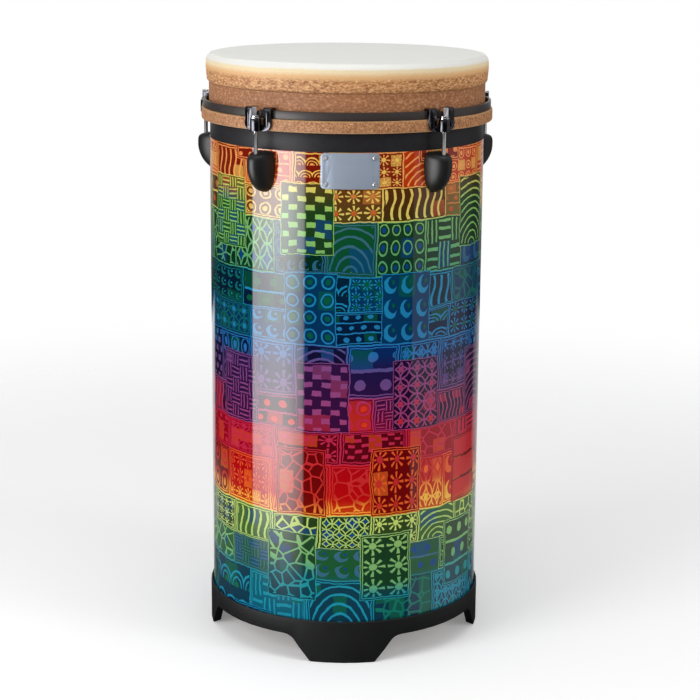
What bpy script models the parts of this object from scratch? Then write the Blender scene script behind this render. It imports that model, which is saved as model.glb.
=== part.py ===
"""Standing hand drum: a wrapped fibre shell in a four-footed base, with a key-tuned head on top.

Sizes are in metres. The drum stands on z = 0 with its badge towards -Y. Azimuths are in degrees from
that front, positive towards +X. The origin is the middle of the footprint of the whole drum, so the
shell's axis lies a little in front of it: the rear lug reaches further out than the front of the hoop.
"""
import math

import bmesh
import bpy
from mathutils import Matrix, Vector

GAP = 0.0003                        # left between pieces that touch

# Shell and its skins
WRAPPED_RADIUS = 0.1524             # a twelve-inch drum, measured over the printed wrap
WRAP_WALL = 0.0010
SHELL_WALL = 0.0075
SHELL_LENGTH = 0.6212
EDGE_OUTER_ROUND = 0.0020           # bearing edge: how far its crest lies inside the outer wall
EDGE_OUTER_DROP = 0.0025
EDGE_INNER_DROP = 0.0055
BAND_WALL = 0.0006

# Base
FOOT_HEIGHT = 0.0295                # floor to the arches between the feet
FOOT_COUNT = 4
FOOT_SOLE_ANGLE = 26.6              # degrees of the circle that each sole covers
FOOT_TOP_ANGLE = 44.0               # the same where the foot runs into the ring
FOOT_FLARE_RADIUS = 0.014
FOOT_WALL = 0.0100
BASE_TURN = -1.9                    # the feet are clocked this far from the badge, in degrees
SHELF_THICKNESS = 0.0045
SHELF_LEDGE = 0.0118                # how far the shelf runs in past the shell's inner wall
CUP_WALL = 0.0026
CUP_CLEARANCE = 0.0006
CUP_DEPTH = 0.0140
CUP_EDGE = 0.0010                   # bevel on the rim and on the soles

# Bottom board and sound tube
BAFFLE_THICKNESS = 0.0120
TUBE_RADIUS = 0.0635
TUBE_WALL = 0.0040
TUBE_LENGTH = 0.2500

# Head
FILM_THICKNESS = 0.0007
FILM_INSET = 0.0020                 # the film's edge lies inside the collar's outer face
COLLAR_CLEARANCE = 0.0006           # round the shell
COLLAR_WALL = 0.0012
COLLAR_HEIGHT = 0.0704
BULGE_WALL = 0.0045                 # thickest part of the collar
BULGE_HEIGHT = 0.0295
BULGE_SHAPE = [(0.30, 0.050), (0.0, 0.162), (0.0, 0.45), (0.35, 0.925)]  # shares: crown, height
GROOVE_DEPTH = 0.0004
FLESH_HOOP_WALL = 0.0081
FLESH_HOOP_HEIGHT = 0.0128
FLESH_HOOP_EDGE = 0.0012
COUNTER_HOOP_SETBACK = 0.0018       # behind the flesh hoop's outer face
COUNTER_HOOP_WALL = 0.0030
COUNTER_HOOP_HEIGHT = 0.0086
COUNTER_HOOP_EDGE = 0.0005

# Tuning stations
STATIONS = 5
ROD_RADIUS = 0.0022
THREAD_RADIUS = 0.0027              # a 12-24 thread, 5.4 mm over its crests
THREAD_LENGTH = 0.0250
ROD_LENGTH = 0.0653                 # under the flange
ROD_TIP_RADIUS = 0.0018
ROD_CLEARANCE = 0.0003
FLANGE_RADIUS = 0.0048
FLANGE_THICKNESS = 0.0016
KEY_SQUARE = 0.0060
KEY_HEIGHT = 0.0088
KEY_EDGE = 0.0007
WASHER_RADIUS = 0.0056
WASHER_THICKNESS = 0.0012

CLAW_HEIGHT = 0.0244
CLAW_WIDTH = 0.0335
CLAW_WALL = 0.0030
CLAW_LIP = 0.0025                   # thickness of the hook over the hoop
CLAW_TOP_ROUND = 0.0020
CLAW_HOOK_ROUND = 0.0012
CLAW_HOOK_WALL = 0.0017
CLAW_HOOK_DROP = 0.0036
CLAW_CORNER = 0.0070
EAR_WIDTH = 0.0092
WEB_HEIGHT = 0.0062
RIB_RADIUS = 0.0016                 # a half-round rib down each ear
RIB_STAND = 0.0010                  # how far it stands out
RIB_END = 0.0026                    # from the claw's top and foot
RIB_END_SHAPE = [(0.70, 0.30), (1.00, 1.00)]  # shares of its radius: radius, distance from its end
BOSS_RADIUS = 0.0060
BOSS_SINK = 0.0033                  # how deep the boss is let into the claw's wall
BOSS_HEIGHT = 0.0128

LUG_DROP = 0.0032                   # the lug's top below the band's foot
LUG_HALF_WIDTH = 0.01375
LUG_NOSE = 0.0097                   # out past the rod's axis
LUG_CROWN = 0.0134                  # the egg's middle below its flat top
LUG_FOOT = 0.0290                   # and above its lower end
LUG_TOP_TILT = 6.0                  # degrees, falling outwards
LUG_SQUARENESS = 0.42               # above the middle: 1 is an ellipse, less is flatter on top
LUG_FOOT_WIDTH_POWER = 2.3          # below the middle: 2 is an ellipse, more is blunter
LUG_FOOT_REACH_POWER = 1.8
LUG_ROOF = 0.0086                   # solid above the nut's flange, at the rod

NUT_FLANGE_RADIUS = 0.0060
NUT_FLANGE_HEIGHT = 0.0030
NUT_RADIUS = 0.0047
NUT_HEIGHT = 0.0157
ROD_TAIL = 0.0027                   # the rod's end comes this far through the nut
POCKET_CLEARANCE = 0.0005           # under the rod's end

LUG_SCREW_RADIUS = 0.0020
LUG_SCREW_BITE = 0.0075             # into the lug
LUG_SCREW_HEAD_RADIUS = 0.0042
LUG_SCREW_HEAD_HEIGHT = 0.0030
LUG_SCREW_DROPS = {"high": 0.0053, "low": 0.0341}
SCREW_CLEARANCE = 0.0003

# Badge
BADGE_WIDTH = 0.0615
BADGE_HEIGHT = 0.0378
BADGE_WALL = 0.0010
BADGE_CORNER = 0.0040
BADGE_DROP = 0.0006                 # below the band
RIVET_INSET = 0.0050
RIVET_RADIUS = 0.0011
RIVET_LENGTH = 0.0060
RIVET_HEAD_RADIUS = 0.0025
RIVET_HEAD_HEIGHT = 0.0013

# Base screws
BASE_SCREW_RADIUS = 0.0022
BASE_SCREW_BITE = 0.0080
BASE_SCREW_INSET = 0.0047           # in from the shell's inner wall
BASE_SCREW_HEAD_RADIUS = 0.0045
BASE_SCREW_HEAD_HEIGHT = 0.0026

# Heads of screws and rivets, as shares of their height and radius
HEAD_RIM_SHARE = 0.45
HEAD_TOP_SHARE = 0.70

# Smoothness
RING_SIDES = 60                     # a multiple of the stations and of the feet
TUBE_SIDES = 40
BOSS_SIDES = 16
ROUND_SIDES = 12
SCREW_SIDES = 8
LUG_SEGMENTS = 20
LUG_RINGS = 12
ARC_STEPS = 4
SHARP_ANGLE = 40                    # degrees; flatter edges are shaded smooth
WELD = 0.00001                      # points nearer than this are one
MARKER_SIZE = 0.05                  # of the empties, on screen

# Radii that follow
SHELL_RADIUS = WRAPPED_RADIUS - WRAP_WALL - GAP
BORE_RADIUS = SHELL_RADIUS - SHELL_WALL
BAND_RADIUS = SHELL_RADIUS + GAP + BAND_WALL
CUP_BORE_RADIUS = WRAPPED_RADIUS + CUP_CLEARANCE
CUP_RADIUS = CUP_BORE_RADIUS + CUP_WALL
SHELF_RADIUS = BORE_RADIUS - SHELF_LEDGE
COLLAR_BORE_RADIUS = SHELL_RADIUS + COLLAR_CLEARANCE
COLLAR_RADIUS = COLLAR_BORE_RADIUS + COLLAR_WALL
BULGE_RADIUS = COLLAR_BORE_RADIUS + BULGE_WALL
FLESH_HOOP_BORE_RADIUS = COLLAR_RADIUS + GAP
FLESH_HOOP_RADIUS = FLESH_HOOP_BORE_RADIUS + FLESH_HOOP_WALL
FILM_RADIUS = BULGE_RADIUS - FILM_INSET
COUNTER_HOOP_RADIUS = FLESH_HOOP_RADIUS - COUNTER_HOOP_SETBACK
CLAW_FACE_RADIUS = FLESH_HOOP_RADIUS + GAP
CLAW_BACK_RADIUS = CLAW_FACE_RADIUS + CLAW_WALL
ROD_CIRCLE = CLAW_BACK_RADIUS + BOSS_RADIUS - BOSS_SINK
LUG_REACH = ROD_CIRCLE - WRAPPED_RADIUS + LUG_NOSE
BASE_SCREW_CIRCLE = BORE_RADIUS - BASE_SCREW_INSET

# Heights that follow, from the floor up
SHELF_TOP = FOOT_HEIGHT + SHELF_THICKNESS
RIM_TOP = SHELF_TOP + CUP_DEPTH
SHELL_BOTTOM = SHELF_TOP + GAP
SHELL_TOP = SHELL_BOTTOM + SHELL_LENGTH
FILM_TOP = SHELL_TOP + GAP + FILM_THICKNESS
COLLAR_BOTTOM = SHELL_TOP - COLLAR_HEIGHT
BULGE_BOTTOM = SHELL_TOP - BULGE_HEIGHT
FLESH_HOOP_TOP = COLLAR_BOTTOM + FLESH_HOOP_HEIGHT
COUNTER_HOOP_BOTTOM = FLESH_HOOP_TOP + GAP
COUNTER_HOOP_TOP = COUNTER_HOOP_BOTTOM + COUNTER_HOOP_HEIGHT
CLAW_TOP = COUNTER_HOOP_TOP + GAP + CLAW_LIP
CLAW_BOTTOM = CLAW_TOP - CLAW_HEIGHT
BOSS_TOP = CLAW_BOTTOM + BOSS_HEIGHT
FLANGE_BOTTOM = BOSS_TOP + GAP + WASHER_THICKNESS + GAP
ROD_BOTTOM = FLANGE_BOTTOM - ROD_LENGTH
NUT_BOTTOM = ROD_BOTTOM + ROD_TAIL
NUT_TOP = NUT_BOTTOM + NUT_HEIGHT
POCKET_BOTTOM = ROD_BOTTOM - POCKET_CLEARANCE
LUG_TOP = NUT_TOP + GAP + LUG_ROOF
LUG_MIDDLE = LUG_TOP - LUG_CROWN
BAND_TOP = COLLAR_BOTTOM - GAP
BAND_BOTTOM = LUG_TOP + LUG_DROP
WRAP_TOP = BAND_BOTTOM - GAP
BADGE_MIDDLE = BAND_BOTTOM - BADGE_DROP - BADGE_HEIGHT / 2

# The middle of the footprint lies between the hoop's front and the rear lug's nose.
AXIS_Y = (FLESH_HOOP_RADIUS - WRAPPED_RADIUS - LUG_REACH) / 2

STATION_ANGLES = [360 / STATIONS * (index + 0.5) for index in range(STATIONS)]
FOOT_ANGLES = [BASE_TURN + 360 / FOOT_COUNT * index for index in range(FOOT_COUNT)]
ARCH_ANGLES = [angle + 180 / FOOT_COUNT for angle in FOOT_ANGLES]
STANDING = Matrix.Rotation(math.radians(90), 4, "X")      # turns +Z to the front and +Y up


def clear_file():
    for item in list(bpy.data.objects):
        bpy.data.objects.remove(item, do_unlink=True)


def collection(name):
    group = bpy.data.collections.new(name)
    bpy.context.scene.collection.children.link(group)
    return group


def linear(level):
    """One screen colour level, 0 to 255, as linear light."""
    share = level / 255
    return share / 12.92 if share <= 0.04045 else ((share + 0.055) / 1.055) ** 2.4


def material(name, colour, roughness, metallic=0.0):
    finish = bpy.data.materials.new(name)
    finish.use_nodes = True
    shader = finish.node_tree.nodes["Principled BSDF"]
    shader.inputs["Base Color"].default_value = [linear(level) for level in colour] + [1.0]
    shader.inputs["Roughness"].default_value = roughness
    shader.inputs["Metallic"].default_value = metallic
    finish.diffuse_color = shader.inputs["Base Color"].default_value
    return finish


def turn(azimuth):
    return Matrix.Rotation(math.radians(azimuth), 4, "Z")


def on_circle(radius, azimuth, height):
    angle = math.radians(azimuth)
    return (radius * math.sin(angle), -radius * math.cos(angle), height)


def round_hole(radius, sides):
    """Radius to give a many-sided hole so that a round piece of this radius passes its flats."""
    return radius / math.cos(math.pi / sides)


def add_cylinder(bm, radius, length, sides, place):
    bmesh.ops.create_cone(
        bm, cap_ends=True, segments=sides, radius1=radius, radius2=radius, depth=length, matrix=place
    )


def add_upright(bm, radius, low, high, sides, centre=(0.0, 0.0)):
    place = Matrix.Translation((centre[0], centre[1], (low + high) / 2))
    add_cylinder(bm, radius, high - low, sides, place)


def add_radial(bm, radius, inner, outer, sides, azimuth, height):
    place = turn(azimuth) @ Matrix.Translation((0.0, -(inner + outer) / 2, height)) @ STANDING
    add_cylinder(bm, radius, outer - inner, sides, place)


def add_box(bm, low, high):
    size = [top - bottom for bottom, top in zip(low, high)]
    middle = [(bottom + top) / 2 for bottom, top in zip(low, high)]
    place = Matrix.Translation(middle) @ Matrix.Diagonal((*size, 1.0))
    bmesh.ops.create_cube(bm, size=1.0, matrix=place)


def mesh_from(bm, name):
    mesh = bpy.data.meshes.new(name)
    bm.to_mesh(mesh)
    bm.free()
    return mesh


def turned_mesh(name, profile, closed):
    """The outline that a Screw modifier sweeps: (radius, height), down the outer side first."""
    mesh = bpy.data.meshes.new(name)
    edges = [(index, index + 1) for index in range(len(profile) - 1)]
    if closed:
        edges.append((len(profile) - 1, 0))
    mesh.from_pydata([(radius, 0.0, height) for radius, height in profile], edges, [])
    return mesh


def add_turn(piece, sides):
    screw = piece.modifiers.new("turn", "SCREW")
    screw.axis = "Z"
    screw.angle = 2 * math.pi
    screw.steps = sides
    screw.render_steps = sides
    screw.use_merge_vertices = True
    screw.merge_threshold = WELD
    screw.use_smooth_shade = True


def rounded(corners):
    """Points of a flat outline from corners (x, y, fillet radius)."""
    points = []
    for index, (x, y, radius) in enumerate(corners):
        corner = Vector((x, y))
        if radius == 0:
            points.append(corner)
            continue
        back = (Vector(corners[index - 1][:2]) - corner).normalized()
        ahead = (Vector(corners[(index + 1) % len(corners)][:2]) - corner).normalized()
        half = back.angle(ahead) / 2
        centre = corner + (back + ahead).normalized() * radius / math.sin(half)
        start = corner + back * radius / math.tan(half) - centre
        finish = corner + ahead * radius / math.tan(half) - centre
        sweep = start.angle_signed(finish)
        for step in range(ARC_STEPS + 1):
            points.append(centre + Matrix.Rotation(-sweep * step / ARC_STEPS, 2) @ start)
    return points


def evaluated_mesh(piece, name):
    bpy.context.view_layer.update()
    depsgraph = bpy.context.evaluated_depsgraph_get()
    mesh = bpy.data.meshes.new_from_object(piece.evaluated_get(depsgraph))
    mesh.name = name
    return mesh


def plate_mesh(name, outline, thickness, place):
    """A flat outline as a solid plate, drawn as a filled curve and then welded."""
    curve = bpy.data.curves.new(name, "CURVE")
    curve.dimensions = "2D"
    curve.fill_mode = "BOTH"
    curve.extrude = thickness / 2
    spline = curve.splines.new("POLY")
    spline.points.add(len(outline) - 1)
    for point, (x, y) in zip(spline.points, outline):
        point.co = (x, y, 0.0, 1.0)
    spline.use_cyclic_u = True
    guide = bpy.data.objects.new(name, curve)
    CUTTERS.objects.link(guide)
    mesh = evaluated_mesh(guide, name)
    bpy.data.objects.remove(guide)
    bm = bmesh.new()
    bm.from_mesh(mesh)
    bmesh.ops.remove_doubles(bm, verts=bm.verts, dist=WELD)
    bmesh.ops.recalc_face_normals(bm, faces=bm.faces)
    bm.to_mesh(mesh)
    bm.free()
    mesh.transform(place)
    return mesh


def piece(name, mesh, finish, parent, location=(0.0, 0.0, 0.0), rotation=(0.0, 0.0, 0.0)):
    item = bpy.data.objects.new(name, mesh)
    item.location = location
    item.rotation_euler = rotation
    item.parent = parent
    if not mesh.materials:
        mesh.materials.append(finish)
    DRUM.objects.link(item)
    return item


def turned(name, profile, sides, finish, parent, closed=True):
    item = piece(name, turned_mesh(name, profile, closed), finish, parent)
    add_turn(item, sides)
    return item


def cutter(name, mesh, parent):
    item = bpy.data.objects.new(name, mesh)
    item.parent = parent
    item.hide_render = True
    item.display_type = "WIRE"
    CUTTERS.objects.link(item)
    return item


def combine(item, other, operation):
    step = item.modifiers.new(other.name, "BOOLEAN")
    step.operation = operation
    step.solver = "EXACT"
    step.object = other


def finish_pattern(item, name, helpers):
    """The shared mesh of a repeated piece, with its modifiers applied and its helpers removed."""
    mesh = evaluated_mesh(item, name)
    for used in [item, *helpers]:
        bpy.data.objects.remove(used)
    mesh.shade_smooth()
    mesh.set_sharp_from_angle(angle=math.radians(SHARP_ANGLE))
    return mesh


def empty(name, parent=None, location=(0.0, 0.0, 0.0)):
    item = bpy.data.objects.new(name, None)
    item.empty_display_size = MARKER_SIZE
    item.location = location
    item.parent = parent
    DRUM.objects.link(item)
    return item


def shell_holes():
    """Through holes for the lug screws and blind ones for the badge's rivets."""
    bm = bmesh.new()
    screw = round_hole(LUG_SCREW_RADIUS + SCREW_CLEARANCE, SCREW_SIDES)
    inner = BORE_RADIUS - SHELL_WALL
    outer = WRAPPED_RADIUS + BADGE_WALL
    for azimuth in STATION_ANGLES:
        for drop in LUG_SCREW_DROPS.values():
            add_radial(bm, screw, inner, outer, SCREW_SIDES, azimuth, LUG_TOP - drop)
    rivet = round_hole(RIVET_RADIUS + SCREW_CLEARANCE, SCREW_SIDES)
    bottom = rivet_seat() - RIVET_LENGTH - GAP
    for azimuth, height in rivet_places():
        add_radial(bm, rivet, bottom, outer, SCREW_SIDES, azimuth, height)
    return mesh_from(bm, "shell_holes")


def make_shell(axis):
    fibre = material("pressed_fibre", (150, 112, 78), 0.85)
    printed = material("printed_wrap", (176, 62, 52), 0.22)
    black = material("black_band", (50, 49, 51), 0.5)
    holes = cutter("shell_holes", shell_holes(), axis)
    crest = SHELL_RADIUS - EDGE_OUTER_ROUND
    shell = turned("shell", [
        (crest, SHELL_TOP),
        (SHELL_RADIUS, SHELL_TOP - EDGE_OUTER_DROP),
        (SHELL_RADIUS, SHELL_BOTTOM),
        (BORE_RADIUS, SHELL_BOTTOM),
        (BORE_RADIUS, SHELL_TOP - EDGE_INNER_DROP),
    ], RING_SIDES, fibre, axis)
    combine(shell, holes, "DIFFERENCE")
    wrap = turned("printed_wrap", [
        (WRAPPED_RADIUS, WRAP_TOP),
        (WRAPPED_RADIUS, SHELL_BOTTOM),
        (WRAPPED_RADIUS - WRAP_WALL, SHELL_BOTTOM),
        (WRAPPED_RADIUS - WRAP_WALL, WRAP_TOP),
    ], RING_SIDES, printed, axis)
    combine(wrap, holes, "DIFFERENCE")
    turned("top_band", [
        (BAND_RADIUS, BAND_TOP),
        (BAND_RADIUS, BAND_BOTTOM),
        (BAND_RADIUS - BAND_WALL, BAND_BOTTOM),
        (BAND_RADIUS - BAND_WALL, BAND_TOP),
    ], RING_SIDES, black, axis)


def arch_mesh():
    """The gaps between the feet, one block for each, flared where a foot runs into the ring."""
    pitch = 360 / FOOT_COUNT
    at_floor = CUP_RADIUS * math.sin(math.radians((pitch - FOOT_SOLE_ANGLE) / 2))
    at_ring = CUP_RADIUS * math.sin(math.radians((pitch - FOOT_TOP_ANGLE) / 2))
    under_floor = at_floor + (at_floor - at_ring) * CUP_WALL / FOOT_HEIGHT
    outline = rounded([
        (under_floor, -CUP_WALL, 0),
        (at_ring, FOOT_HEIGHT, FOOT_FLARE_RADIUS),
        (-at_ring, FOOT_HEIGHT, FOOT_FLARE_RADIUS),
        (-under_floor, -CUP_WALL, 0),
    ])
    inner = (CUP_RADIUS - FOOT_WALL) * math.cos(math.radians(pitch / 2))
    outer = CUP_RADIUS + CUP_WALL
    place = Matrix.Translation((0.0, -(inner + outer) / 2, 0.0)) @ STANDING
    block = plate_mesh("arch", outline, outer - inner, place)
    bm = bmesh.new()
    for azimuth in ARCH_ANGLES:
        copy = block.copy()
        copy.transform(turn(azimuth))
        bm.from_mesh(copy)
        bpy.data.meshes.remove(copy)
    bpy.data.meshes.remove(block)
    return mesh_from(bm, "arches")


def base_screw_holes():
    bm = bmesh.new()
    radius = round_hole(BASE_SCREW_RADIUS + SCREW_CLEARANCE, SCREW_SIDES)
    top = SHELL_BOTTOM + BASE_SCREW_BITE + GAP
    for azimuth in ARCH_ANGLES:
        x, y, low = on_circle(BASE_SCREW_CIRCLE, azimuth, FOOT_HEIGHT - SHELF_THICKNESS)
        add_upright(bm, radius, low, top, SCREW_SIDES, (x, y))
    return mesh_from(bm, "base_screw_holes")


def make_base(axis):
    moulded = material("moulded_base", (36, 37, 39), 0.55)
    board = material("bottom_board", (139, 110, 78), 0.8)
    tube = material("tube_fibre", (120, 92, 66), 0.85)
    steel = material("base_screw_steel", (70, 70, 72), 0.4, 1.0)
    holes = cutter("base_screw_holes", base_screw_holes(), axis)
    foot_bore = CUP_RADIUS - FOOT_WALL
    base = turned("base", [
        (CUP_RADIUS - CUP_EDGE, RIM_TOP),
        (CUP_RADIUS, RIM_TOP - CUP_EDGE),
        (CUP_RADIUS, CUP_EDGE),
        (CUP_RADIUS - CUP_EDGE, 0.0),
        (foot_bore + CUP_EDGE, 0.0),
        (foot_bore, CUP_EDGE),
        (foot_bore, FOOT_HEIGHT),
        (SHELF_RADIUS, FOOT_HEIGHT),
        (SHELF_RADIUS, SHELF_TOP),
        (CUP_BORE_RADIUS, SHELF_TOP),
        (CUP_BORE_RADIUS, RIM_TOP - CUP_EDGE),
        (CUP_BORE_RADIUS + CUP_EDGE, RIM_TOP),
    ], RING_SIDES, moulded, axis)
    base.rotation_euler.z = math.radians(BASE_TURN)
    combine(base, cutter("arches", arch_mesh(), axis), "DIFFERENCE")
    combine(base, holes, "DIFFERENCE")
    tube_hole = round_hole(TUBE_RADIUS, RING_SIDES) + GAP
    baffle = turned("baffle", [
        (BORE_RADIUS - GAP, SHELL_BOTTOM + BAFFLE_THICKNESS),
        (BORE_RADIUS - GAP, SHELL_BOTTOM),
        (tube_hole, SHELL_BOTTOM),
        (tube_hole, SHELL_BOTTOM + BAFFLE_THICKNESS),
    ], RING_SIDES, board, axis)
    combine(baffle, holes, "DIFFERENCE")
    turned("sound_tube", [
        (TUBE_RADIUS, SHELL_BOTTOM + TUBE_LENGTH),
        (TUBE_RADIUS, SHELL_BOTTOM),
        (TUBE_RADIUS - TUBE_WALL, SHELL_BOTTOM),
        (TUBE_RADIUS - TUBE_WALL, SHELL_BOTTOM + TUBE_LENGTH),
    ], TUBE_SIDES, tube, axis)
    screw = screw_mesh(
        "base_screw", BASE_SCREW_RADIUS, SHELF_THICKNESS + 2 * GAP + BASE_SCREW_BITE,
        BASE_SCREW_HEAD_RADIUS, BASE_SCREW_HEAD_HEIGHT,
    )
    for number, azimuth in enumerate(ARCH_ANGLES, 1):
        place = on_circle(BASE_SCREW_CIRCLE, azimuth, FOOT_HEIGHT - GAP)
        piece(f"base_screw_{number}", screw, steel, axis, place)


def screw_mesh(name, radius, length, head_radius, head_height):
    """A screw standing on its head, with the origin where the head meets the work."""
    profile = [
        (0.0, length),
        (radius, length),
        (radius, 0.0),
        (head_radius, 0.0),
        (head_radius, -head_height * HEAD_RIM_SHARE),
        (head_radius * HEAD_TOP_SHARE, -head_height),
        (0.0, -head_height),
    ]
    pattern = bpy.data.objects.new(name, turned_mesh(name, profile, closed=False))
    CUTTERS.objects.link(pattern)
    add_turn(pattern, SCREW_SIDES)
    return finish_pattern(pattern, name, [])


def make_head(lift):
    film = material("head_film", (240, 239, 233), 0.45)
    fibre = material("collar_fibre", (205, 155, 112), 0.75)
    hoop_fibre = material("flesh_hoop_fibre", (190, 142, 106), 0.75)
    hoop_steel = material("black_hoop", (54, 55, 57), 0.45)
    film_bottom = SHELL_TOP + GAP
    turned("head_film", [
        (0.0, FILM_TOP),
        (FILM_RADIUS - FILM_THICKNESS, FILM_TOP),
        (FILM_RADIUS, FILM_TOP - FILM_THICKNESS / 2),
        (FILM_RADIUS, film_bottom),
        (0.0, film_bottom),
    ], RING_SIDES, film, lift, closed=False)
    crown = BULGE_WALL - COLLAR_WALL
    turned("head_collar", [
        (FILM_RADIUS - FILM_THICKNESS, SHELL_TOP),
        *[(BULGE_RADIUS - crown * inset, SHELL_TOP - BULGE_HEIGHT * drop) for inset, drop in BULGE_SHAPE],
        (COLLAR_RADIUS, BULGE_BOTTOM),
        (COLLAR_RADIUS - GROOVE_DEPTH, BULGE_BOTTOM - GROOVE_DEPTH),
        (COLLAR_RADIUS - GROOVE_DEPTH, BULGE_BOTTOM - 2 * GROOVE_DEPTH),
        (COLLAR_RADIUS, BULGE_BOTTOM - 3 * GROOVE_DEPTH),
        (COLLAR_RADIUS, COLLAR_BOTTOM),
        (COLLAR_BORE_RADIUS, COLLAR_BOTTOM),
        (COLLAR_BORE_RADIUS, SHELL_TOP),
    ], RING_SIDES, fibre, lift)
    turned("flesh_hoop", edged_ring(
        FLESH_HOOP_BORE_RADIUS, FLESH_HOOP_RADIUS, COLLAR_BOTTOM, FLESH_HOOP_TOP, FLESH_HOOP_EDGE
    ), RING_SIDES, hoop_fibre, lift)
    turned("counter_hoop", edged_ring(
        COUNTER_HOOP_RADIUS - COUNTER_HOOP_WALL, COUNTER_HOOP_RADIUS,
        COUNTER_HOOP_BOTTOM, COUNTER_HOOP_TOP, COUNTER_HOOP_EDGE,
    ), RING_SIDES, hoop_steel, lift)


def edged_ring(inner, outer, bottom, top, edge):
    """Profile of a ring whose outer corners are bevelled."""
    return [
        (outer - edge, top),
        (outer, top - edge),
        (outer, bottom + edge),
        (outer - edge, bottom),
        (inner, bottom),
        (inner, top),
    ]


def claw_mesh():
    """Boss for the rod, a web at its foot and two ribbed ears that hook over the counter hoop."""
    face = CLAW_FACE_RADIUS
    back = CLAW_BACK_RADIUS
    hoop_face = COUNTER_HOOP_RADIUS + GAP
    hook_face = COUNTER_HOOP_RADIUS - COUNTER_HOOP_WALL - GAP - GAP
    hook_back = hook_face - CLAW_HOOK_WALL
    lip_bottom = COUNTER_HOOP_TOP + GAP
    web_top = CLAW_BOTTOM + WEB_HEIGHT
    ear_root = CLAW_BOTTOM + CLAW_CORNER + CLAW_WALL
    ear_foot = ear_root - CLAW_WALL / 2
    ear = rounded([
        (back, ear_foot, 0),
        (back, CLAW_TOP, CLAW_TOP_ROUND),
        (hook_back, CLAW_TOP, CLAW_HOOK_ROUND),
        (hook_back, lip_bottom - CLAW_HOOK_DROP, 0),
        (hook_face, lip_bottom - CLAW_HOOK_DROP, 0),
        (hook_face, lip_bottom, 0),
        (hoop_face, lip_bottom, 0),
        (hoop_face, FLESH_HOOP_TOP + GAP, 0),
        (face, FLESH_HOOP_TOP + GAP, 0),
        (face, ear_foot, 0),
    ])
    across = Matrix.Rotation(math.radians(-90), 4, "Z") @ STANDING
    offset = (CLAW_WIDTH - EAR_WIDTH) / 2
    lean = math.degrees(math.asin(offset / back))
    added = []
    for azimuth in (-lean, lean):
        added.append(cutter("ear", plate_mesh("ear", ear, EAR_WIDTH, turn(azimuth) @ across), None))
        rib = cutter("rib", turned_mesh("rib", rib_profile(), closed=False), None)
        rib.location = on_circle(back + RIB_STAND - RIB_RADIUS, azimuth, 0.0)
        add_turn(rib, ROUND_SIDES)
        added.append(rib)
    half = CLAW_WIDTH / 2
    web_outline = rounded([
        (-half, ear_root, 0),
        (-half, CLAW_BOTTOM, CLAW_CORNER),
        (half, CLAW_BOTTOM, CLAW_CORNER),
        (half, ear_root, 0),
        (half - EAR_WIDTH, ear_root, 0),
        (half - EAR_WIDTH, web_top, 0),
        (EAR_WIDTH - half, web_top, 0),
        (EAR_WIDTH - half, ear_root, 0),
    ])
    place = Matrix.Translation((0.0, -(face + back) / 2, 0.0)) @ STANDING
    web = cutter("web", plate_mesh("web", web_outline, CLAW_WALL, place), None)
    bm = bmesh.new()
    add_upright(bm, BOSS_RADIUS, CLAW_BOTTOM, BOSS_TOP, BOSS_SIDES, (0.0, -ROD_CIRCLE))
    boss = cutter("claw", mesh_from(bm, "claw"), None)
    bm = bmesh.new()
    bore = round_hole(THREAD_RADIUS + ROD_CLEARANCE, ROUND_SIDES)
    margin = CLAW_WALL
    add_upright(bm, bore, CLAW_BOTTOM - margin, BOSS_TOP + margin, ROUND_SIDES, (0.0, -ROD_CIRCLE))
    hole = cutter("rod_bore", mesh_from(bm, "rod_bore"), None)
    combine(boss, web, "UNION")
    for item in added:
        combine(boss, item, "UNION")
    combine(boss, hole, "DIFFERENCE")
    return finish_pattern(boss, "claw", [web, hole, *added])


def rib_profile():
    top = CLAW_TOP - RIB_END
    low = CLAW_BOTTOM + RIB_END
    upper = [(RIB_RADIUS * wide, top - RIB_RADIUS * down) for wide, down in RIB_END_SHAPE]
    lower = [(RIB_RADIUS * wide, low + RIB_RADIUS * up) for wide, up in reversed(RIB_END_SHAPE)]
    return [(0.0, top), *upper, *lower, (0.0, low)]


def rod_mesh():
    """Key-headed rod with its origin on its own axis, where the flange seats."""
    thread_top = -ROD_LENGTH + THREAD_LENGTH
    profile = [
        (0.0, FLANGE_THICKNESS),
        (FLANGE_RADIUS, FLANGE_THICKNESS),
        (FLANGE_RADIUS, 0.0),
        (ROD_RADIUS, 0.0),
        (ROD_RADIUS, thread_top + THREAD_RADIUS - ROD_RADIUS),
        (THREAD_RADIUS, thread_top),
        (THREAD_RADIUS, -ROD_LENGTH + THREAD_RADIUS - ROD_TIP_RADIUS),
        (ROD_TIP_RADIUS, -ROD_LENGTH),
        (0.0, -ROD_LENGTH),
    ]
    rod = cutter("tension_rod", turned_mesh("tension_rod", profile, closed=False), None)
    add_turn(rod, ROUND_SIDES)
    bm = bmesh.new()
    half = KEY_SQUARE / 2
    top = FLANGE_THICKNESS + KEY_HEIGHT
    add_box(bm, (-half, -half, FLANGE_THICKNESS / 2), (half, half, top))
    crown = [edge for edge in bm.edges if all(vert.co.z > FLANGE_THICKNESS for vert in edge.verts)]
    bmesh.ops.bevel(bm, geom=crown, offset=KEY_EDGE, segments=1, profile=0.5, affect="EDGES")
    key = cutter("key_head", mesh_from(bm, "key_head"), None)
    combine(rod, key, "UNION")
    return finish_pattern(rod, "tension_rod", [key])


def ring_mesh(name, profile):
    pattern = cutter(name, turned_mesh(name, profile, closed=True), None)
    add_turn(pattern, ROUND_SIDES)
    return finish_pattern(pattern, name, [])


def washer_mesh():
    bore = round_hole(THREAD_RADIUS + ROD_CLEARANCE, ROUND_SIDES)
    return ring_mesh("rod_washer", [
        (WASHER_RADIUS, WASHER_THICKNESS),
        (WASHER_RADIUS, 0.0),
        (bore, 0.0),
        (bore, WASHER_THICKNESS),
    ])


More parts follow.
